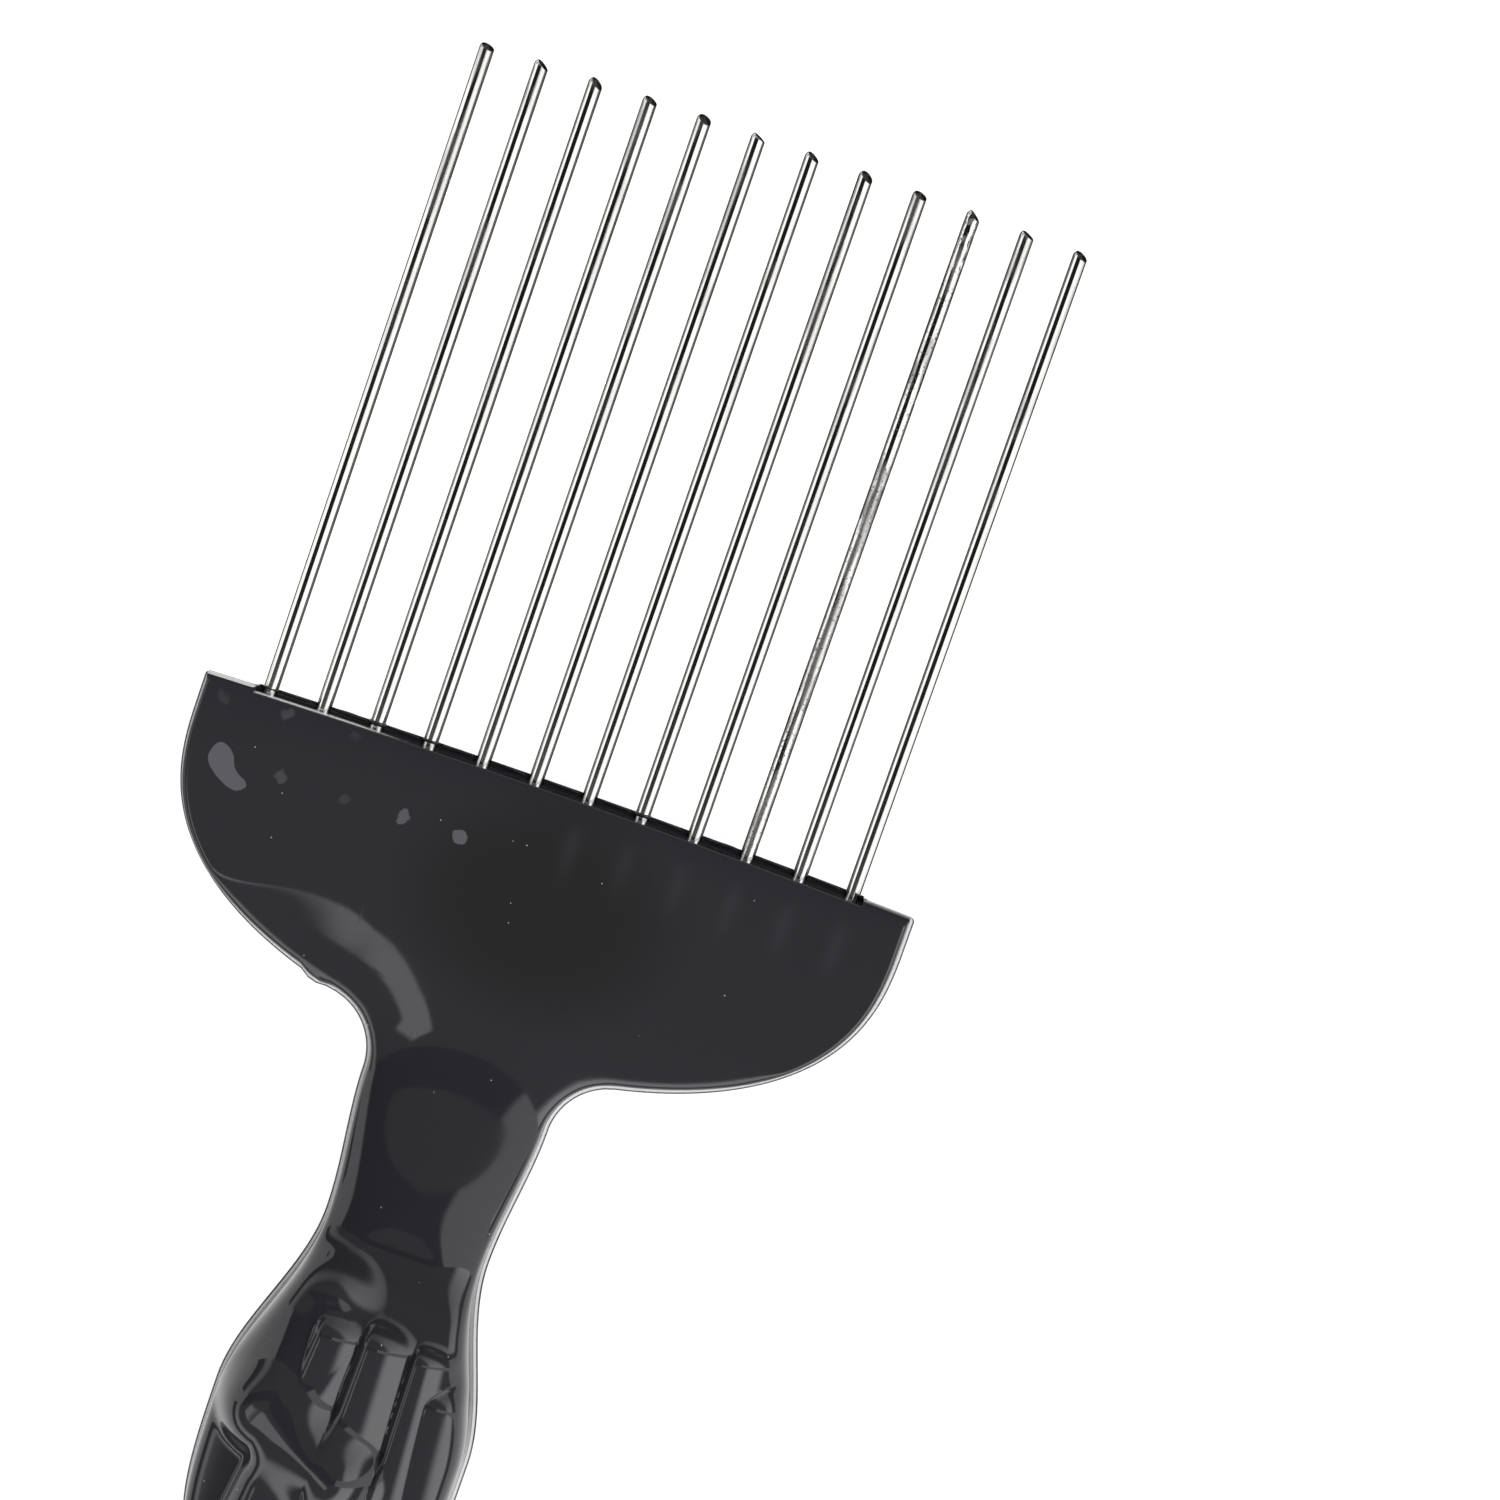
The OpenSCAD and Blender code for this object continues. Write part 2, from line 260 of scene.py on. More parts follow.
def bow(x):
    """Outward bow of the pin edge."""
    return EDGE_BOW * (1 - (x / HEAD_HALF) ** 2)


def edge_round(s):
    """How far in from the outline the edge is rounded."""
    neck = mix(SIDE_ROUND, NECK_ROUND, ease(ROUND_FROM_S, ROUND_TO_S, s))
    upper = mix(neck, WRIST_ROUND, ease(WRIST_FROM_S, WRIST_TO_S, s))
    lower = mix(WRIST_ROUND, FIST_ROUND, ease(SQUARE_FROM_S, HEEL_S, s))
    return np.where(s <= 0, TOP_ROUND, np.where(s < SQUARE_FROM_S, upper, lower))


def wall_share(s):
    """Share of the half thickness that stands upright at the outline."""
    upper = mix(HEAD_WALL, WRIST_WALL, ease(ROUND_FROM_S, ROUND_TO_S, s))
    lower = mix(WRIST_WALL, FIST_WALL, ease(SQUARE_FROM_S, HEEL_S, s))
    return np.where(s < SQUARE_FROM_S, upper, lower)


outline_s = np.concatenate([
    np.linspace(0, SIDE_RUN, 24)[:-1],
    SIDE_RUN + MOON_RUN * np.sin(np.linspace(0, math.acos(JOIN_W / HEAD_HALF), 160)[:-1])
    ** (2 / MOON_POWER),
    NECK_S - NECK_R * np.cos(np.linspace(NECK_JOIN, math.pi / 2, 60)[:-1]),
    np.linspace(NECK_S, FIST_S, 90)[:-1],
    HANDLE_LEN - (HANDLE_LEN - FIST_S) * (1 - np.linspace(0, 1, 120)) ** 2])
OUTLINE = np.append(np.stack([half_width(outline_s), outline_s], 1), [[0, HANDLE_LEN]], 0)


def nearest_on_outline(x, s):
    """Distance from each point to the outline, and the s of the nearest place on it."""
    start, step = OUTLINE[:-1], np.diff(OUTLINE, axis=0)
    length2 = (step ** 2).sum(1)
    gap, place = np.empty_like(x), np.empty_like(x)
    for i in range(len(x)):
        rel = np.stack([np.abs(x[i]), s[i]], 1)[:, None] - start
        t = np.clip((rel * step).sum(2) / length2, 0, 1)
        off = np.linalg.norm(rel - t[:, :, None] * step, axis=2)
        k = off.argmin(1)
        row = np.arange(len(k))
        gap[i] = off[row, k]
        place[i] = start[k, 1] + t[row, k] * step[k, 1]
    top = s < gap
    return np.where(top, s, gap), np.where(top, 0, place)


def dome(x, s):
    """0 on the parting plane, 1 on the face: the share of the height at each point."""
    gap, place = nearest_on_outline(x, s)
    size = np.where((place <= 0) & (np.abs(x) > STEP_HALF), TOP_ROUND / 2, edge_round(place))
    q = np.clip(gap / size, 0, 1)
    wall = wall_share(place)
    return wall + (1 - wall) * np.sqrt(1 - (1 - q) ** 2), gap


def draft(x, s):
    """The walls lean in by DRAFT from the parting line, so that the mould can open."""
    gap, place = nearest_on_outline(x, s)
    slope = (half_width(place + 0.01) - half_width(place - 0.01)) / 0.02
    lean = DRAFT * np.maximum(0, 1 - gap / DRAFT_REACH) ** 2
    size = lean / np.sqrt(1 + slope ** 2)
    top = place <= 0
    return np.where(top, 0, -size) * np.sign(x), np.where(top, 0, size * slope)


print("outline points:", len(OUTLINE))

# %% [markdown]
# ## The faces
# The front swells from the flat head into the wrist, then into a clenched fist: four fingers
# fan out from the heel of the hand to the knuckles, and the thumb crosses the first of them.
# The fist is barrel-shaped, and each finger lies on the next one like a shingle: its crest is
# near its left crease, and a long slope falls to the right. The thumb is a soft roll over them.

# %% Heights of the front and the back
FAN_X = CREASE_X - FINGER_W
KNUCKLE_PITCH = FINGER_W * 1.3
TIP_S = HEEL_S + FINGER_W * 0.7
FINGER_H = FINGER_T - PALM_T
LEAN, LEFT_DROP, RIGHT_DROP = 0.7, 0.25, 0.8


def part_z(s):
    return mix(PIN_Z, FIST_PART_Z, ease(NECK_S, FIST_S, s))


def fall(x):
    """How far the barrel of the fist has fallen at each distance from its middle."""
    return BARREL * (x / FIST_HALF) ** 2


def base_front(x, s):
    """The front without its fingers and thumb."""
    wrist = mix(HEAD_T, WRIST_T, ease(JOIN_S, WAIST_S, s))
    palm = mix(WRIST_T, PALM_T - fall(x), ease(WAIST_S, HEEL_S + FINGER_W, s))
    return np.where(s < WAIST_S, wrist, palm)


def along_limb(x, s, a, b):
    """Place, height and radius of a limb from a to b, beside each point."""
    a, b = np.array(a), np.array(b)
    run = b[:2] - a[:2]
    t = np.clip(((x - a[0]) * run[0] + (s - a[1]) * run[1]) / (run @ run), 0, 1)
    return [mix(a[i], b[i], t) for i in range(4)]


def finger(x, s, tip_at, tip_r, late, knuckle_at, knuckle_r, low):
    """Height of a curled finger. Its places and radii are in finger widths."""
    tip_x, knuckle_x = FAN_X + FINGER_W * tip_at, FAN_X + FINGER_W * knuckle_at
    cx, cs, height, radius = along_limb(
        x, s,
        [tip_x, TIP_S + FINGER_W * (late + tip_r), FINGER_T - fall(tip_x) - FINGER_H * low,
         FINGER_W * tip_r],
        [knuckle_x, HANDLE_LEN, FINGER_T - fall(knuckle_x), FINGER_W * knuckle_r])
    side = (x - cx) / radius + LEAN
    right = RIGHT_DROP * (np.maximum(side, 0) / (1 + LEAN)) ** 2
    left = LEFT_DROP * (np.minimum(side, 0) / (1 - LEAN)) ** 2
    return height - FINGER_H * (right + left + ((s - cs) / radius) ** 2)


def laid_over(z, x, s, a, b, softness):
    """A rounded roll from a to b laid over the height z."""
    cx, cs, height, radius = along_limb(x, s, a, b)
    gap = np.hypot(x - cx, s - cs) / radius
    return mix(z, np.maximum(z, height), np.maximum(0, 1 - gap ** 2) ** softness)


def soft_max(a, b, blend):
    """The higher of two heights, with a fillet where they meet."""
    h = np.maximum(blend - np.abs(a - b), 0) / blend
    return np.maximum(a, b) + h * h * blend / 4


def fist_front(x, s):
    fingers = finger(x, s, -1.56, 0.54, -0.22, -1.87, 0.85, 0.2)
    for shape in ((-0.59, 0.5, -0.26, -0.55, 0.74, 0.2), (0.36, 0.39, -0.15, 0.69, 0.62, 0.2),
                  (0.95, 0.54, 0.55, 1.3, 0.7, 0.0)):
        fingers = soft_max(fingers, finger(x, s, *shape), FINGER_H / 20)
    z = soft_max(base_front(x, s), fingers, FINGER_H / 4)
    thumb_r, thumb_h = THUMB_W * 0.95, THUMB_T - PALM_T
    ball = [-WRIST_HALF * 0.5, HEEL_S + FINGER_W * 0.4, PALM_T, THUMB_W]
    joint = [THUMB_W - FIST_HALF, FIST_S - THUMB_W * 0.1, THUMB_T - thumb_h * 0.3, thumb_r]
    tip = [FAN_X - FINGER_W * 0.8, FIST_S + THUMB_W * 0.6, THUMB_T, thumb_r]
    return laid_over(laid_over(z, x, s, ball, joint, 2), x, s, joint, tip, 2)


def knuckle(x, s):
    """Depth of the creases that run over the end of the fist."""
    k = (x - FAN_X) / KNUCKLE_PITCH
    crease = np.where(np.abs(k) < 1.5, np.cos(math.pi * k) ** 4, 0)
    return KNUCKLE_CUT * crease * ease(mix(FIST_S, HANDLE_LEN, 0.2), HANDLE_LEN, s)


def base_back(s):
    return WRIST_ARCH * ease(JOIN_S, WAIST_S, s) * (1 - ease(WAIST_S, FIST_S, s))


print(f"four fingers over s = {TIP_S:.1f} to {HANDLE_LEN:.1f} mm")

# %% [markdown]
# ## Step and gate
# A moulding shows how it was made. The front of the pin edge is stepped back between the outer
# pins, where the bars of the mould held the wires, and a gate stub is left on the lower edge of
# the left lobe. Both are part of the skin itself, so that its outline shows them.

# %% Step and gate stub
GATE_X, GATE_WIDE, GATE_PROUD, GATE_REACH = -18.6, 1.3, 0.4, 1.2
STEP_SOFT, LIP_DROP, LIP_REACH = 0.02, 0.12, 0.22


def step_cut(x, s, z):
    """The front drops to the parting plane in the stepped strip of the pin edge."""
    wall = ease(STEP_DEPTH - STEP_SOFT, STEP_DEPTH + STEP_SOFT, s)
    lip = LIP_DROP * (1 - ease(STEP_DEPTH, STEP_DEPTH + LIP_REACH, s))
    inside = 1 - ease(STEP_HALF - STEP_SOFT, STEP_HALF + STEP_SOFT, np.abs(x))
    return mix(z, mix(PIN_Z, z - lip, wall), inside * (s < STEP_DEPTH + 0.3))


def front_z(x, s):
    share, gap = dome(x, s)
    crown = np.where(s < WAIST_S, base_front(x, s), fist_front(x, s))
    z = mix(part_z(s), crown, share)
    return step_cut(x, s, z), gap


def back_z(x, s):
    share, gap = dome(x, s)
    return mix(part_z(s), base_back(s) + knuckle(x, s), share), gap


def place_y(x, s, gap):
    """Where a point lies along Y: the bowed edge, the creases and the gate stub move it."""
    edge_bow = bow(x) * (1 - ease(0, JOIN_S, s))
    stub = np.exp(-((x - GATE_X) / GATE_WIDE) ** 6) * (1 - ease(0, GATE_REACH, gap))
    stub = np.where((s > JOIN_S - 3) & (s < NECK_S), stub, 0) * GATE_PROUD
    return EDGE_Y - s + edge_bow + knuckle(x, s) - stub


print(f"step {STEP_DEPTH} mm deep, gate stub at x = {GATE_X} mm")

# %% [markdown]
# ## Building the skin
# The skin is one loft: rows across the handle, each a closed ring that goes over the front and
# back under it. Rows and columns crowd where the shape turns, which keeps the mesh light. The
# back is flatter than the front, so it has one column for every four of the front.

# %% Rows and columns of the loft
FRONT_COLUMNS = 224
BACK_STEP = 4
RIM_SHARE = 0.14
END_ROWS_S = 90.0


def row_places():
    """Every s that has a row: rows crowd at the step, the neck and the end of the fist."""
    edge = [0, 0.05, 0.12, 0.2, 0.32, 0.48, 0.66, 0.68, 0.72, 0.74, 0.78, 0.84, 0.92, 1.04, 1.3]
    head = np.linspace(1.6, 12.0, 48)
    lobe = np.linspace(12.3, JOIN_S, 58)
    neck = np.linspace(JOIN_S, WAIST_S, 62)[1:]
    fist = np.linspace(WAIST_S, END_ROWS_S, 118)[1:]
    end = HANDLE_LEN - (HANDLE_LEN - END_ROWS_S) * (1 - np.linspace(0, 1, 34)[1:]) ** 2
    return np.concatenate([edge, head, lobe, neck, fist, end])


def column_places(s):
    """x of every front column on each row, from the right rim to the left one."""
    w = half_width(s)
    slope = (half_width(s + TOP_ROUND) - w) / TOP_ROUND
    reach = np.minimum(edge_round(s) * np.minimum(NECK_R, np.sqrt(1 + slope ** 2)), 0.8 * w)
    turn = np.maximum(RIM_SHARE, 0.8 * reach / w)
    u = np.linspace(0, 1, FRONT_COLUMNS // 2 + 1)[None]
    w, reach, turn = w[:, None], reach[:, None], turn[:, None]
    rim = w - reach * (1 - np.cos(math.pi / 2 * np.minimum(u / turn, 1)))
    face = (w - reach) * (1 - u) / (1 - turn)
    right = np.where(u < turn, rim, face)
    return np.concatenate([right, -right[:, -2::-1]], 1)


def step_columns(x, s):
    """Moves the nearest columns to both sides of the step's end walls near the pin edge."""
    x = x.copy()
    near = s < SIDE_RUN
    for sign in (1, -1):
        k = np.abs(x[near][-1] - sign * STEP_HALF).argmin()
        hold = 1 - ease(SIDE_RUN - 2, SIDE_RUN, s[near])
        for offset, shift in ((0, 0.03), (sign, -0.03)):
            x[near, k + offset] = mix(x[near, k + offset], sign * (STEP_HALF + shift), hold)
    return x


rows = row_places()
columns = step_columns(column_places(rows), rows)
grid_s = np.repeat(rows[:, None], columns.shape[1], 1)
print("rows:", len(rows), "columns:", columns.shape[1])

# %% [markdown]
# Between the front and the back, a narrow flange of four faces runs round the outline. It is
# the parting line, and the part of it that carries a pale painted highlight, for the light along
# the rim, is stored as an attribute. The painted highlight goes on over the left corner and fades
# out along the wall of the step. The walls have a draft, as every moulding has, and the back is
# tucked in under the pin edge, so that the end of the head stays dark from above.

# %% Skin of the handle
RIM_HIGHLIGHT_FLANGE = (2, 3)
CORNER_ROWS, WALL_ROW = 4, 8
RIM_HIGHLIGHT_FULL_X, RIM_HIGHLIGHT_END_X = -26, -12


def grid_points(x, s, height, tuck=0.0):
    """Points of one face. The back tucks in under the pin edge."""
    z, gap = height(x, s)
    step_x, step_s = draft(x, s)
    under = tuck * np.maximum(0, 1 - s / DRAFT_REACH) ** 2
    return np.stack([x + step_x, place_y(x, s, gap) - step_s - under, z], 2)


def parting_points(side, inset):
    """The outline itself, where the two halves of the mould meet, or a line just inside it."""
    x = side * half_width(rows)
    slope = (half_width(rows + 0.01) - half_width(rows - 0.01)) / 0.02 * (rows > CORNER_R)
    across = inset / np.sqrt(1 + slope ** 2)
    y = place_y(x, rows, np.zeros_like(x)) - across * slope * (rows < CLOSE_S)
    y -= TUCK / 2 * np.maximum(0, 1 - rows / DRAFT_REACH) ** 2
    return np.stack([x - side * across, y, part_z(rows) + inset / 2], 1)[:, None]


def build_handle():
    """The mesh of the moulding, with its painted rim highlight stored as an attribute."""
    front = grid_points(columns, grid_s, front_z)
    back = grid_points(columns[:, ::BACK_STEP], grid_s[:, ::BACK_STEP], back_z, TUCK)[:, ::-1]
    right = [parting_points(1, inset) for inset in FLANGE]
    left = [parting_points(-1, inset) for inset in FLANGE[::-1]]
    ring = np.concatenate([*right, front, *left, back], 1)
    count, around = ring.shape[:2]
    nf, nb, lip = front.shape[1], back.shape[1], len(FLANGE)
    faces = []
    for i in range(count - 1):
        for j in range(around):
            a, b = i * around + j, i * around + (j + 1) % around
            faces.append((a, b, b + around, a + around))
    for base in (0, (count - 1) * around):
        ends = [(*range(lip + 1), around - 1), tuple(range(nf + lip - 1, nf + 2 * lip + 1))]
        strips = [tuple(k * BACK_STEP + n + lip for n in range(BACK_STEP + 1))
                  + (around - 2 - k, around - 1 - k) for k in range(nb - 1)]
        faces += [tuple(base + n for n in cap) for cap in ends + strips]
    mesh = bpy.data.meshes.new("fist_handle")
    mesh.from_pydata((ring.reshape(-1, 3) * MM).tolist(), [], faces)
    mesh.validate()
    # These points carry the pale painted highlight along the rim and the step's wall.
    rim_lit = np.zeros((count, around))
    for k in RIM_HIGHLIGHT_FLANGE:
        rim_lit[:, k] = rim_lit[:, nf + 2 * lip - 1 - k] = 1
    for i in range(1, CORNER_ROWS):
        rim_lit[i, lip:lip + nf] = columns[i] < -STEP_HALF - 0.1
    x = columns[WALL_ROW]
    fade = 1 - ease(RIM_HIGHLIGHT_FULL_X, RIM_HIGHLIGHT_END_X, x)
    rim_lit[WALL_ROW, lip:lip + nf] = (np.abs(x) < STEP_HALF) * fade
    mark = mesh.attributes.new("parting", "FLOAT", "POINT")
    mark.data.foreach_set("value", rim_lit.ravel())
    return mesh


def smooth_by_angle(mesh, degrees):
    mesh.polygons.foreach_set("use_smooth", [True] * len(mesh.polygons))
    mesh.set_sharp_from_angle(angle=math.radians(degrees))


def outward(mesh):
    """Turns the faces out and says what the mesh holds."""
    work = bmesh.new()
    work.from_mesh(mesh)
    bmesh.ops.recalc_face_normals(work, faces=work.faces)
    open_edges = sum(1 for e in work.edges if not e.is_manifold)
    volume = work.calc_volume(signed=True)
    work.to_mesh(mesh)
    work.free()
    return open_edges, volume


def as_piece(mesh, material, name):
    """Makes a visible piece that rides on the root body."""
    piece = bpy.data.objects.new(name, mesh)
    bpy.context.scene.collection.objects.link(piece)
    mesh.materials.clear()
    mesh.materials.append(material)
    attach(piece, "root")
    return piece


handle_mesh = build_handle()
open_edges, volume = outward(handle_mesh)
smooth_by_angle(handle_mesh, 40)
print("handle faces:", len(handle_mesh.polygons), "open edges:", open_edges,
      "volume mm3:", round(volume * 1e9))

# %% [markdown]
# ## Black plastic
# The moulding is glossy black plastic, painted a little bluer and paler away from its middle as
# painted sheen. It carries painted highlights: a pale grey bean-shaped patch by the left corner
# and small ragged spots over the buried wire ends, where dents would catch the light, pale
# streaks over the right-hand wires, where faint ripples would catch it, and a pale line along the
# parting line for the light on its rim. It has hairline scratches, dull smudges and specks of
# dust. The places of the patch and the spots are given in the millimetres of the outline, so
# they stay on the skin. A painted picture could carry such marks, but noise and distances stay
# sharp at any zoom.

# %% Black plastic material
BEAN_UPPER = [(-36.7, 8.6), (-36.5, 7.6), (-36.1, 6.9), (-35.2, 6.8), (-34.1, 7.7), (-33.6, 8.8),
              (-32.7, 9.6), (-32.0, 10.0), (-31.7, 10.6)]
BEAN_LOWER = [(-36.7, 8.6), (-36.5, 9.2), (-35.7, 10.1), (-34.5, 10.9), (-33.2, 11.4),
              (-32.4, 11.3), (-31.7, 10.6)]
HIGHLIGHT_SPOTS = [(-28.5, 8.5, 0.75, 0.45), (-21.6, 8.4, 0.7, 0.25), (-15.0, 8.4, 0.8, 0.9),
         (-8.5, 8.2, 0.85, 1.0), (-37.0, 2.1, 0.8, 0.2), (-30.0, 1.8, 0.8, 0.4),
         (-22.6, 1.7, 0.7, 0.2)]
SPOT_WARP, RIPPLE_WIDE, DUST_CELL = 1.8, 0.9, 2.2
# The second colour is a painted sheen: paler, bluer plastic stands in for brighter reflections away
# from the middle.
MIDDLE_BLACK, PAINTED_SHEEN_BLACK = (0.0170, 0.0171, 0.0174, 1), (0.0258, 0.0252, 0.0305, 1)
# Both greys on this line are painted highlights: the first for streaks over the right-hand wires,
# the second for the bean patch and the spots.
RIPPLE_HIGHLIGHT_GREY, HIGHLIGHT_GREY = (0.050, 0.050, 0.058, 1), (0.114, 0.112, 0.124, 1)
# The first grey is a painted highlight along the rim; the second is real dust.
RIM_HIGHLIGHT_GREY, DUST_GREY = (0.72, 0.72, 0.72, 1), (0.62, 0.62, 0.6, 1)


def bean_highlight(t, x, s):
    """1 inside the bean-shaped painted highlight, 0 outside."""
    upper, lower = t.curve(x, BEAN_UPPER), t.curve(x, BEAN_LOWER)
    return (s - upper).ramp(0.0, 0.2) * (lower - s).ramp(0.0, 0.2)


def spot(x, s, cx, cs, r, strength):
    """A round painted highlight, sharper the stronger it is."""
    gap2 = (x - cx) * (x - cx) + (s - cs) * (s - cs)
    return (1 - gap2 * (1 / r ** 2)).ramp(0.0, 1.3 - strength) * strength


def ripple_highlights(x, s):
    """Painted highlight streaks over the buried ends of the right-hand wires, where faint waves
    would catch the light.
    """
    waves = [(((x - px) * (1 / RIPPLE_WIDE)) ** 2 * -1).maths("EXPONENT")
             for px in pin_x[len(pin_x) // 2:]]
    return sum(waves[1:], waves[0]) * s.ramp(2.0, 5.0) * (1 - s.ramp(5.0, 11.0))


def black_plastic():
    material, t = new_material("black_plastic")
    place = t.node("ShaderNodeTexCoord", out="Object")
    axes = t.node("ShaderNodeSeparateXYZ", values=[place])
    x, y, z = [axes.other(name) * (1 / MM) for name in "XYZ"]
    edge_bow = (1 - x * x * (1 / HEAD_HALF ** 2)) * (EDGE_BOW * 0.8)
    s = edge_bow + EDGE_Y - y
    face = z.ramp(HEAD_T * 0.8, HEAD_T * 0.95) * (1 - s.ramp(12.0, 14.0))
    warp = t.node("ShaderNodeSeparateColor", values=[t.node(
        "ShaderNodeTexNoise", values={"Vector": place, "Scale": 650.0}, out="Color")])
    spot_x, spot_s = x + (warp - 0.5) * SPOT_WARP, s + (warp.other("Green") - 0.5) * SPOT_WARP
    highlight_spots = [spot(spot_x, spot_s, *values) for values in HIGHLIGHT_SPOTS]
    # The patch and the spots are painted highlights, pale grey where dents in the face would catch
    # the light.
    painted_highlights = sum(highlight_spots, bean_highlight(t, x, s)) * face
    smudge = t.node("ShaderNodeTexNoise", values={
        "Vector": place, "Scale": 55.0, "Detail": 3.0, "Roughness": 0.55})
    fine = t.node("ShaderNodeTexNoise", values={
        "Vector": place, "Scale": 900.0, "Detail": 2.0})
    stretch = t.node("ShaderNodeMapping", values={
        "Vector": place, "Rotation": (0, 0, 0.7), "Scale": (2400, 90, 400)})
    scratch = t.node("ShaderNodeTexNoise", values={
        "Vector": stretch, "Scale": 1.0, "Detail": 2.0}).ramp(0.68, 0.74)
    cells = t.node("ShaderNodeTexVoronoi", {"feature": "F1"}, {
        "Vector": place, "Scale": 1 / (DUST_CELL * MM), "Randomness": 1.0}, out="Distance")
    pick = t.node("ShaderNodeSeparateColor", values=[cells.other("Color")])
    speck = (1 - cells.ramp(0.022, 0.038)) * pick.ramp(0.30, 0.32)
    # The plastic is painted paler and bluer away from the middle: painted sheen.
    side = ((x - 2) * (x - 2) + (s - 13) * (s - 13) * 1.6) * (1 / 18.0 ** 2)
    sheen_tone = t.blend(side.ramp(0.05, 1.0), MIDDLE_BLACK, PAINTED_SHEEN_BLACK)
    # Painted highlight streaks over the right-hand wires.
    ripple_lit = t.blend(ripple_highlights(x, s) * face * (smudge * 0.6), sheen_tone, RIPPLE_HIGHLIGHT_GREY)
    highlighted = t.blend(painted_highlights, ripple_lit, HIGHLIGHT_GREY)
    # The pale line on the parting line is a painted highlight.
    rim_lit = t.node("ShaderNodeAttribute", {"attribute_name": "parting"}, out="Fac")
    rim_highlighted = t.blend(rim_lit.ramp(0.3, 0.7), highlighted, RIM_HIGHLIGHT_GREY)
    dusty = t.blend(speck, rim_highlighted, DUST_GREY)
    rough = (smudge.ramp(0.35, 0.75) * 0.05 + 0.045 + scratch * 0.08 + speck * 0.6
             + painted_highlights * 0.2 + rim_lit * 0.4)
    relief = smudge * 0.002 + fine * 0.0001 - scratch * 0.0003
    bump = t.node("ShaderNodeBump", values={"Strength": 1.0, "Distance": MM, "Height": relief})
    shader = t.node("ShaderNodeBsdfPrincipled", values={
        "Base Color": dusty, "Roughness": rough, "Normal": bump, "IOR": 1.5})
    t.node("ShaderNodeOutputMaterial", values={"Surface": shader})
    return material


plastic = black_plastic()
handle = as_piece(handle_mesh, plastic, "fist_handle")
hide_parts("handle_body")
print("handle dressed in", plastic.name)

# %% [markdown]
# ## Steel pins
# A pin is a straight steel wire with a bullet tip that was ground a little askew. It could be
# turned on a lathe, and a geometry tree does just that: it takes a tube of many rings, moves
# the rings along the wire, and draws them in at both ends. Rings beyond the slanting cut are
# pressed almost flat on it, and the last ring stays a little open, so that no face is lost.
# The tree stores which points lie on the flanks of the wire, where the material paints shade,
# and which on the ground face, for the material. The sizes are named inputs, so one tree makes
# all twelve pins, and a noise roughens the one that has rusted.

# %% Geometry tree of a pin
PIN_RINGS, PIN_SIDES = 150, 28
TIP_H, TAIL_BEVEL = 0.75 * MM, 0.2 * MM
CROWDING, POLE_SHARE, TAIL_SHARE = 2.2, 0.03, 0.75
CUT_DEPTH, CUT_DOME, GROUND_FADE = 0.6, 0.02, 0.03 * MM
INPUTS = [("Centre", "NodeSocketVector", (0, 0, 0)), ("Length", "NodeSocketFloat", 0.081),
          ("Radius", "NodeSocketFloat", 0.0008), ("Tip height", "NodeSocketFloat", TIP_H),
          ("Cut slope", "NodeSocketFloat", 0.4), ("Cut turn", "NodeSocketFloat", 0.0),
          ("Pits", "NodeSocketFloat", 0.0), ("Seed", "NodeSocketFloat", 0.0),
          ("Material", "NodeSocketMaterial", None)]


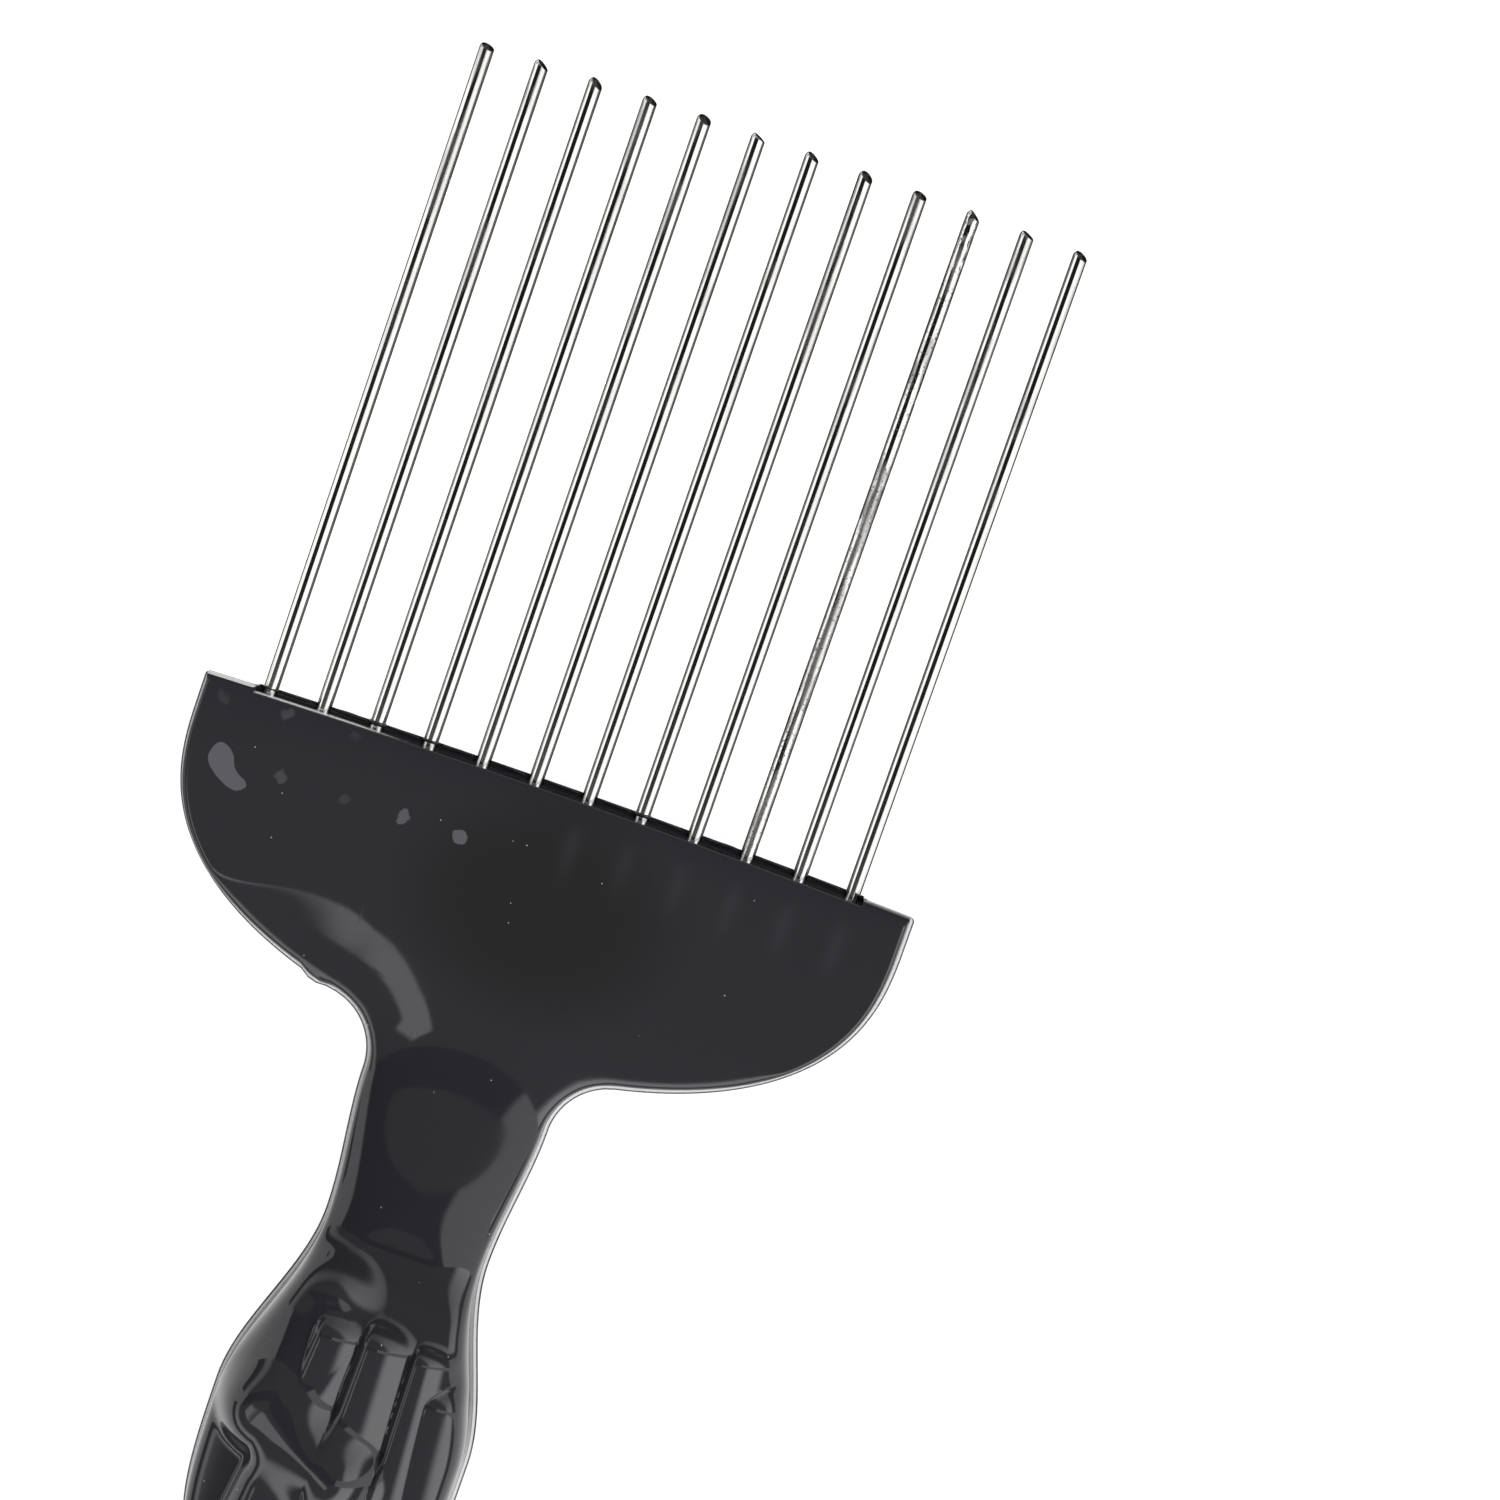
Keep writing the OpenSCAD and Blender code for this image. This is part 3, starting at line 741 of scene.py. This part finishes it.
def pin_tree():
    """The geometry tree, and the identifiers of its named inputs."""
    group = bpy.data.node_groups.new("wire_pin", "GeometryNodeTree")
    sockets = {}
    for name, kind, default in INPUTS:
        socket = group.interface.new_socket(name, in_out="INPUT", socket_type=kind)
        if default is not None:
            socket.default_value = default
        sockets[name] = socket.identifier
    group.interface.new_socket("Geometry", in_out="OUTPUT", socket_type="NodeSocketGeometry")
    t = Tree(group)
    given = t.node("NodeGroupInput", out="Centre")
    length, radius, tip = given.other("Length"), given.other("Radius"), given.other("Tip height")
    tube = t.node("GeometryNodeMeshCylinder", {"fill_type": "TRIANGLE_FAN"}, {
        "Vertices": PIN_SIDES, "Side Segments": PIN_RINGS, "Radius": 1.0, "Depth": 1.0})
    spot = t.node("ShaderNodeSeparateXYZ", values=[t.node("GeometryNodeInputPosition")])
    share = spot.other("Z") + 0.5
    crowd = 1 - (1 - share) ** CROWDING
    run = crowd * length
    from_tip = (length - run) / tip
    tip_draw = (1 - (1 - from_tip.maths("MINIMUM", 1.0)) ** 2.0).maths("SQRT")
    tip_draw = tip_draw.maths("MAXIMUM", POLE_SHARE)
    tail_draw = (run / TAIL_BEVEL * (1 - TAIL_SHARE) + TAIL_SHARE).maths("MINIMUM", 1.0)
    ring = spot.other("X") * tip_draw * tail_draw
    rise = spot.other("Y") * tip_draw * tail_draw
    speck = t.node("ShaderNodeCombineXYZ", values=[spot.other("X") * 2, spot.other("Y") * 2,
                                                   run * 700 + given.other("Seed")])
    pit = t.node("ShaderNodeTexNoise", values={"Vector": speck, "Scale": 1.0, "Detail": 3.0})
    patch = t.node("ShaderNodeTexNoise", {"noise_dimensions": "1D"}, {
        "W": run * 90 + given.other("Seed"), "Scale": 1.0, "Detail": 1.0}).ramp(0.42, 0.6)
    worn = radius * (1 - pit.ramp(0.5, 0.75) * patch * given.other("Pits"))
    # Stores the flanks, where the material paints shade.
    flank = t.node("GeometryNodeStoreNamedAttribute", {"data_type": "FLOAT", "domain": "POINT"}, {
        "Geometry": tube, "Name": "flank", "Value": spot.other("X").maths("ABSOLUTE")})
    turn = given.other("Cut turn")
    across = ring * turn.maths("COSINE") + rise * turn.maths("SINE")
    cut = length - tip * CUT_DEPTH - across * given.other("Cut slope") * radius
    lengthwise = run.maths("MINIMUM", cut) + (run - cut).maths("MAXIMUM", 0.0) * CUT_DOME
    capped = t.node("GeometryNodeStoreNamedAttribute", {"data_type": "FLOAT", "domain": "POINT"}, {
        "Geometry": flank, "Name": "ground", "Value": (run - cut).ramp(0.0, GROUND_FADE)})
    bent = t.node("ShaderNodeCombineXYZ", values=[ring * worn, lengthwise, rise * -1 * worn])
    moved = t.node("ShaderNodeVectorMath", {"operation": "ADD"}, [bent, given])
    shaped = t.node("GeometryNodeSetPosition", values={"Geometry": capped, "Position": moved})
    smooth = t.node("GeometryNodeSetShadeSmooth", values={"Geometry": shaped})
    real = t.node("GeometryNodeRealizeInstances", values=[smooth])
    dressed = t.node("GeometryNodeSetMaterial", values={
        "Geometry": real, "Material": given.other("Material")})
    t.node("NodeGroupOutput", values=[dressed])
    return group, sockets


def evaluated_mesh(name, group, settings, start):
    """Runs a geometry tree on the start mesh and returns the plain mesh that it makes."""
    holder = bpy.data.objects.new(name + "_maker", start)
    bpy.context.scene.collection.objects.link(holder)
    modifier = holder.modifiers.new("tree", "NODES")
    modifier.node_group = group
    for identifier, value in settings.items():
        modifier[identifier] = value
    holder.update_tag()
    bpy.context.view_layer.update()
    graph = bpy.context.evaluated_depsgraph_get()
    mesh = bpy.data.meshes.new_from_object(holder.evaluated_get(graph))
    mesh.name = name
    holder.modifiers.remove(modifier)
    bpy.data.objects.remove(holder)
    return mesh


wire_pin, pin_sockets = pin_tree()
print("pin inputs:", list(pin_sockets))

# %% [markdown]
# ## Steel
# The wires are bright, with fine draw lines along them. Towards the tips they are scuffed to a
# soft grey in patches, and the tenth pin is pitted and darker all along. The metal is painted
# dark along both flanks: painted shade for the dark edges that fine wire shows. The ground face
# of each tip is dark and dull as well. Noise stretched along the wire draws the lines, and the
# stored places on the mesh keep the painted dark edges where they belong from every side.

# %% Steel material
CLEAN_STEEL, DULL_STEEL = (0.80, 0.79, 0.77, 1), (0.42, 0.41, 0.40, 1)
PIT_BROWN, FLANK_PAINTED_SHADE = (0.05, 0.045, 0.04, 1), (0.02, 0.02, 0.02, 1)
GROUND_BLACK = (0.02, 0.018, 0.016, 1)


def steel(name, wear):
    material, t = new_material(name)
    place = t.node("ShaderNodeTexCoord", out="Object")
    lines = t.node("ShaderNodeMapping", values={"Vector": place, "Scale": (9000, 60, 9000)})
    drawn = t.node("ShaderNodeTexNoise", values={"Vector": lines, "Scale": 1.0, "Detail": 2.0})
    patchy = t.node("ShaderNodeMapping", values={"Vector": place, "Scale": (900, 110, 900)})
    patch = t.node("ShaderNodeTexNoise", values={"Vector": patchy, "Scale": 1.0, "Detail": 3.0})
    along = t.node("ShaderNodeSeparateXYZ", values=[place]).other("Y")
    near_tip = along.ramp(0.03, 0.075)
    scuff = patch.ramp(0.46, 0.62) * (near_tip * 0.5 + 0.08 + wear)
    speckle = t.node("ShaderNodeTexNoise", values={"Vector": place, "Scale": 3200.0,
                                                   "Detail": 2.0})
    pits = speckle.ramp(0.58, 0.7) * wear
    dull = t.blend(scuff, CLEAN_STEEL, DULL_STEEL)
    pitted = t.blend(pits, dull, PIT_BROWN)
    # The flanks are painted dark: painted shade for the dark edges of fine wire.
    flank = t.node("ShaderNodeAttribute", {"attribute_name": "flank"}, out="Fac").ramp(0.74, 0.83)
    edge_shaded = t.blend(flank * 0.85, pitted, FLANK_PAINTED_SHADE)
    ground = t.node("ShaderNodeAttribute", {"attribute_name": "ground"}, out="Fac")
    colour = t.blend(ground * 0.92, edge_shaded, GROUND_BLACK)
    rough = scuff * 0.3 + pits * 0.3 + drawn * 0.05 + ground * 0.3 + 0.06
    relief = drawn * 0.2 - pits * 1.0 + speckle * scuff * 0.6
    bump = t.node("ShaderNodeBump", values={
        "Strength": 0.5, "Distance": 0.01 * MM, "Height": relief})
    shader = t.node("ShaderNodeBsdfPrincipled", values={
        "Base Color": colour, "Metallic": 1.0, "Roughness": rough, "Normal": bump,
        "Specular Tint": (0, 0, 0, 1)})
    t.node("ShaderNodeOutputMaterial", values={"Surface": shader})
    return material


WORN_PIN = "pin_10"
bright_steel = steel("pin_steel", 0.0)
worn_steel = steel("pin_steel_worn", 0.8)
print("steels:", bright_steel.name, worn_steel.name)

# %% [markdown]
# Each pin takes its place and its size from the box of its solid. No two tips are ground
# alike: the slope and the turn of the cut step through a few values along the row.

# %% Twelve pins
def make_pin(number, name):
    """Makes one pin, and returns its open edges and its volume."""
    low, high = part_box(name)
    middle = (low + high) / 2
    worn = name == WORN_PIN
    values = {"Centre": (middle.x, low.y, middle.z), "Length": high.y - low.y,
              "Radius": (high.x - low.x) / 2, "Tip height": TIP_H,
              "Cut slope": 0.6 + 0.5 * ((number * 7) % 5) / 5,
              "Cut turn": -1.0 + 0.2 * ((number * 3) % 4),
              "Pits": 0.16 if worn else 0.012, "Seed": number * 13.7,
              "Material": worn_steel if worn else bright_steel}
    settings = {pin_sockets[key]: value for key, value in values.items()}
    start = bpy.data.meshes.new(name + "_start")
    mesh = evaluated_mesh("steel_" + name, wire_pin, settings, start)
    open_edges, volume = outward(mesh)
    mesh.set_sharp_from_angle(angle=math.radians(50))
    piece = as_piece(mesh, values["Material"], "steel_" + name)
    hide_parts(name)
    return open_edges, volume


pin_facts = [make_pin(i, name) for i, name in enumerate(PINS)]
print("pin open edges:", [count for count, _ in pin_facts])
print("pin volumes mm3:", [round(volume * 1e9) for _, volume in pin_facts])

# %% [markdown]
# ## Plastic at the pin roots
# Where the wires leave the mould, plastic creeps up round them in small collars, and thin
# lens-shaped slivers of flash stay on the step between them. A geometry tree sets one collar at
# each root and one sliver in each gap, with a size and a turn that differ from place to place.

# %% Flash at the roots of the pins
COLLAR_R = PIN_R + 0.25
COLLAR_SIZE, COLLAR_Y, COLLAR_VARY = (COLLAR_R, 0.45, COLLAR_R * 0.9), -0.12, 0.3
SLIVER_SIZE, SLIVER_Y, SLIVER_VARY = (2.1, 0.24, 0.2), -0.2, 0.45


def root_points(xs, y_offset):
    """One point at each x, beside the pin edge."""
    mesh = bpy.data.meshes.new("root_points")
    mesh.from_pydata([(x * MM, (EDGE_Y + bow(x) + y_offset) * MM, PIN_Z * MM) for x in xs], [], [])
    return mesh


def flash_tree(seed):
    """The geometry tree, and the identifiers of its named inputs."""
    group = bpy.data.node_groups.new("flash", "GeometryNodeTree")
    group.interface.new_socket("Geometry", in_out="INPUT", socket_type="NodeSocketGeometry")
    names = {}
    for name, kind in (("Size", "NodeSocketVector"), ("Vary", "NodeSocketFloat"),
                       ("Material", "NodeSocketMaterial")):
        names[name] = group.interface.new_socket(name, in_out="INPUT", socket_type=kind).identifier
    group.interface.new_socket("Geometry", in_out="OUTPUT", socket_type="NodeSocketGeometry")
    t = Tree(group)
    given = t.node("NodeGroupInput", out="Geometry")
    ball = t.node("GeometryNodeMeshUVSphere", values={"Segments": 24, "Rings": 12, "Radius": 1.0})
    vary = given.other("Vary")
    size = t.node("FunctionNodeRandomValue", {"data_type": "FLOAT"}, {
        "Min": 1 - vary, "Max": 1.0, "Seed": seed}, out=1)
    turn = t.node("FunctionNodeRandomValue", {"data_type": "FLOAT"}, {
        "Min": vary * -0.12, "Max": vary * 0.12, "Seed": seed + 1}, out=1)
    spin = t.node("ShaderNodeCombineXYZ", values=[0.0, 0.0, turn])
    scale = t.node("ShaderNodeVectorMath", {"operation": "SCALE"}, {
        0: given.other("Size"), "Scale": size})
    lens = t.node("GeometryNodeInstanceOnPoints", values={
        "Points": given, "Instance": ball, "Rotation": spin, "Scale": scale})
    real = t.node("GeometryNodeRealizeInstances", values=[lens])
    smooth = t.node("GeometryNodeSetShadeSmooth", values={"Geometry": real})
    dressed = t.node("GeometryNodeSetMaterial", values={
        "Geometry": smooth, "Material": given.other("Material")})
    t.node("NodeGroupOutput", values=[dressed])
    return group, names


def flash_mesh(name, xs, y_offset, size, vary, seed):
    group, names = flash_tree(seed)
    values = {"Size": [v * MM for v in size], "Vary": vary, "Material": plastic}
    settings = {names[key]: value for key, value in values.items()}
    return evaluated_mesh(name, group, settings, root_points(xs, y_offset))


gap_x = [(a + b) / 2 for a, b in zip(pin_x, pin_x[1:])]
slivers = flash_mesh("slivers", gap_x, SLIVER_Y, SLIVER_SIZE, SLIVER_VARY, seed=5)
collars = flash_mesh("collars", pin_x, COLLAR_Y, COLLAR_SIZE, COLLAR_VARY, seed=9)
as_piece(slivers, plastic, "edge_slivers")
as_piece(collars, plastic, "root_collars")
print("flash faces:", len(slivers.polygons), len(collars.polygons))

# %% [markdown]
# ## Floor and light
# The comb lies on a pale floor that glows a little, like a light table, in a plain soft studio.
# Glossy black and bright wire show only what they mirror, so the room is drawn by direction: a
# dark ceiling keeps the flat face dark, a bright ring round it edges the rims and is brightest
# on the right, a softbox near the top draws the crescent at the neck, and two side strips with
# a dark gap between them line the wires. Lamps could light the comb too, but a room drawn by
# direction puts each reflection where the photograph shows it.

# %% Floor and room
FLOOR_HALF = 3.0
FLOOR_GLOW, FLOOR_PAINT = 0.92, 0.30
CEILING, RING, LOW, BELOW = 0.2, 2.2, 0.1, 0.85
RING_AHEAD, RING_RIGHT, RING_BASE, RING_TILT = -0.35, 0.7, 0.65, 18
SOFTBOX_AZIMUTH, SOFTBOX_ZENITH = math.radians(237), math.radians(21.5)
SOFTBOX_WIDE, SOFTBOX_HIGH, SOFTBOX_LIGHT = (-7, 5.0, 0.03, 0.045), (-4.2, 4.8, 0.02, 0.01), 1.9
STRIP_HALF, STRIP_FADE, STRIP_DARK, STRIP_LIGHT = 0.128, 0.003, 0.01, 1.3
STRIP_RIGHT, STRIP_LEFT = (13, 17), (-50, -46)
RING_ZENITH, LOW_ZENITH, BELOW_ZENITH = (46, 60), (66, 78), (90, 91)


def add_floor():
    mesh = bpy.data.meshes.new("floor")
    h = FLOOR_HALF
    mesh.from_pydata([(-h, -h, 0), (h, -h, 0), (h, h, 0), (-h, h, 0)], [], [(0, 1, 2, 3)])
    floor = bpy.data.objects.new("floor", mesh)
    bpy.context.scene.collection.objects.link(floor)
    material, t = new_material("pale_floor")
    shader = t.node("ShaderNodeBsdfPrincipled", values={
        "Base Color": (FLOOR_PAINT, FLOOR_PAINT, FLOOR_PAINT, 1), "Roughness": 0.9,
        "Specular IOR Level": 0.0, "Emission Color": (1, 1, 1, 1),
        "Emission Strength": FLOOR_GLOW})
    t.node("ShaderNodeOutputMaterial", values={"Surface": shader})
    mesh.materials.append(material)


def softbox(t, way):
    """1 where the direction points into the softbox, 0 elsewhere."""
    a, z = SOFTBOX_AZIMUTH, SOFTBOX_ZENITH
    middle = Vector((math.sin(z) * math.cos(a), math.sin(z) * math.sin(a), math.cos(z)))
    side = Vector((0, 0, 1)).cross(middle).normalized()
    spans = [(side, SOFTBOX_WIDE), (middle.cross(side), SOFTBOX_HIGH)]
    dot = {"operation": "DOT_PRODUCT"}
    ahead = t.node("ShaderNodeVectorMath", dot, [way, middle], out="Value")
    inside = ahead.maths("GREATER_THAN", 0.0)
    for axis, (low, high, low_fade, high_fade) in spans:
        off = t.node("ShaderNodeVectorMath", dot, [way, axis], out="Value") / ahead
        low, high = math.tan(math.radians(low)), math.tan(math.radians(high))
        inside = inside * off.ramp(low - low_fade, low + low_fade)
        inside = inside * (1 - off.ramp(high - high_fade, high + high_fade))
    return inside


def add_room():
    """Draws the room by direction: angles from the zenith and across the wires, in degrees."""
    world = bpy.data.worlds.new("room")
    world.use_nodes = True
    world.node_tree.nodes.clear()
    t = Tree(world.node_tree)
    way = t.node("ShaderNodeTexCoord", out="Generated")
    axes = t.node("ShaderNodeSeparateXYZ", values=[way])
    x, y, z = axes, axes.other("Y"), axes.other("Z")
    zenith = z.maths("ARCCOSINE") * (180 / math.pi)
    flat = (x * x + y * y).maths("SQRT")
    right = (x / flat).maths("MAXIMUM", 0.0)
    ring = (y / flat * RING_AHEAD + right * RING_RIGHT + RING_BASE) * RING
    light = (ring - CEILING) * (zenith + right * RING_TILT).ramp(*RING_ZENITH) + CEILING
    light = light + (LOW - light) * zenith.ramp(*LOW_ZENITH)
    light = light + (SOFTBOX_LIGHT - light) * softbox(t, way)
    roll = x.maths("ARCTAN2", z) * (180 / math.pi)
    lit = roll.ramp(*STRIP_RIGHT).maths("MAXIMUM", 1 - roll.ramp(*STRIP_LEFT))
    strip = lit * (STRIP_LIGHT - STRIP_DARK) + STRIP_DARK
    beyond = y.maths("ABSOLUTE").ramp(STRIP_HALF - STRIP_FADE, STRIP_HALF + STRIP_FADE)
    light = light + (strip - light) * (1 - beyond)
    light = light + (BELOW - light) * zenith.ramp(*BELOW_ZENITH)
    shader = t.node("ShaderNodeBackground", values={"Color": (1, 1, 1, 1), "Strength": light})
    t.node("ShaderNodeOutputWorld", values={"Surface": shader})
    bpy.context.scene.world = world


add_floor()
add_room()
bpy.context.scene.view_settings.view_transform = "Standard"
print("room:", bpy.context.scene.world.name)
